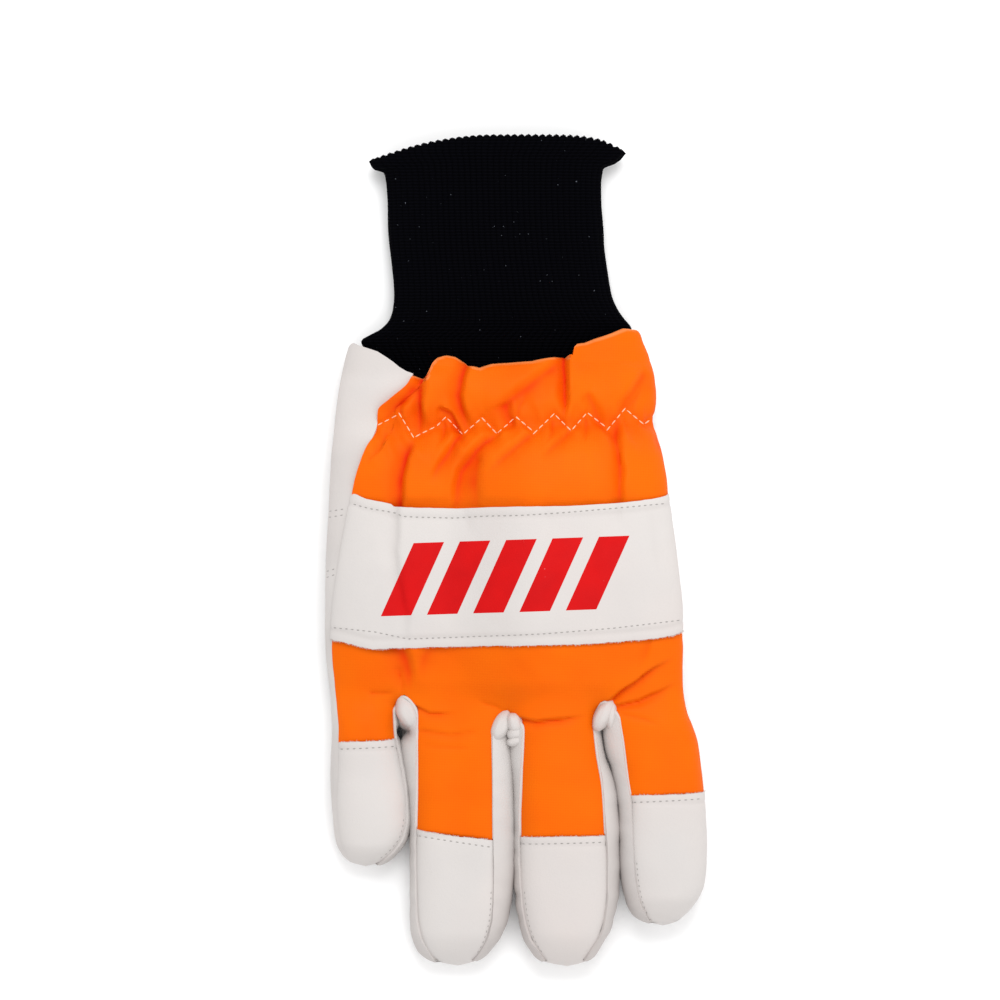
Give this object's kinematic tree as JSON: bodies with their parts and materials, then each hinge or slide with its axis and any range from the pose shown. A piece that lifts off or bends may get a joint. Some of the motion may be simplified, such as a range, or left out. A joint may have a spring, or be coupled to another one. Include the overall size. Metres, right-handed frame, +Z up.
{
  "type": "chainsaw glove",
  "caption": "Right-hand protective work glove with off-white leather palm, fingertips and knuckle patch, orange padded cloth back gathered at the wrist, and black knitted cuff.",
  "frame": {"origin": "centre of the glove's plan outline, on the surface it lies on", "axes": "+Y from the fingertips to the knitted cuff, +Z up out of the back of the glove, +X towards the index finger's side"},
  "size_m": [0.1163, 0.2493, 0.0353],
  "materials": {
    "leather": "off-white grain leather, softly creased",
    "cloth": "bright orange woven polyester over padding, gathered",
    "knit": "black ribbed knit, matt"
  },
  "bodies": {
    "root": {"knit_cuff": "knit", "palm_leather": "leather", "knuckle_patch": "leather", "fingertip_cap_little": "leather", "fingertip_cap_ring": "leather", "fingertip_cap_middle": "leather", "fingertip_cap_index": "leather", "fourchette_little_ring": "leather", "fourchette_ring_middle": "leather", "fourchette_middle_index": "leather", "thumb_leather": "leather", "back_cloth": "cloth"}
  },
  "joints": []
}
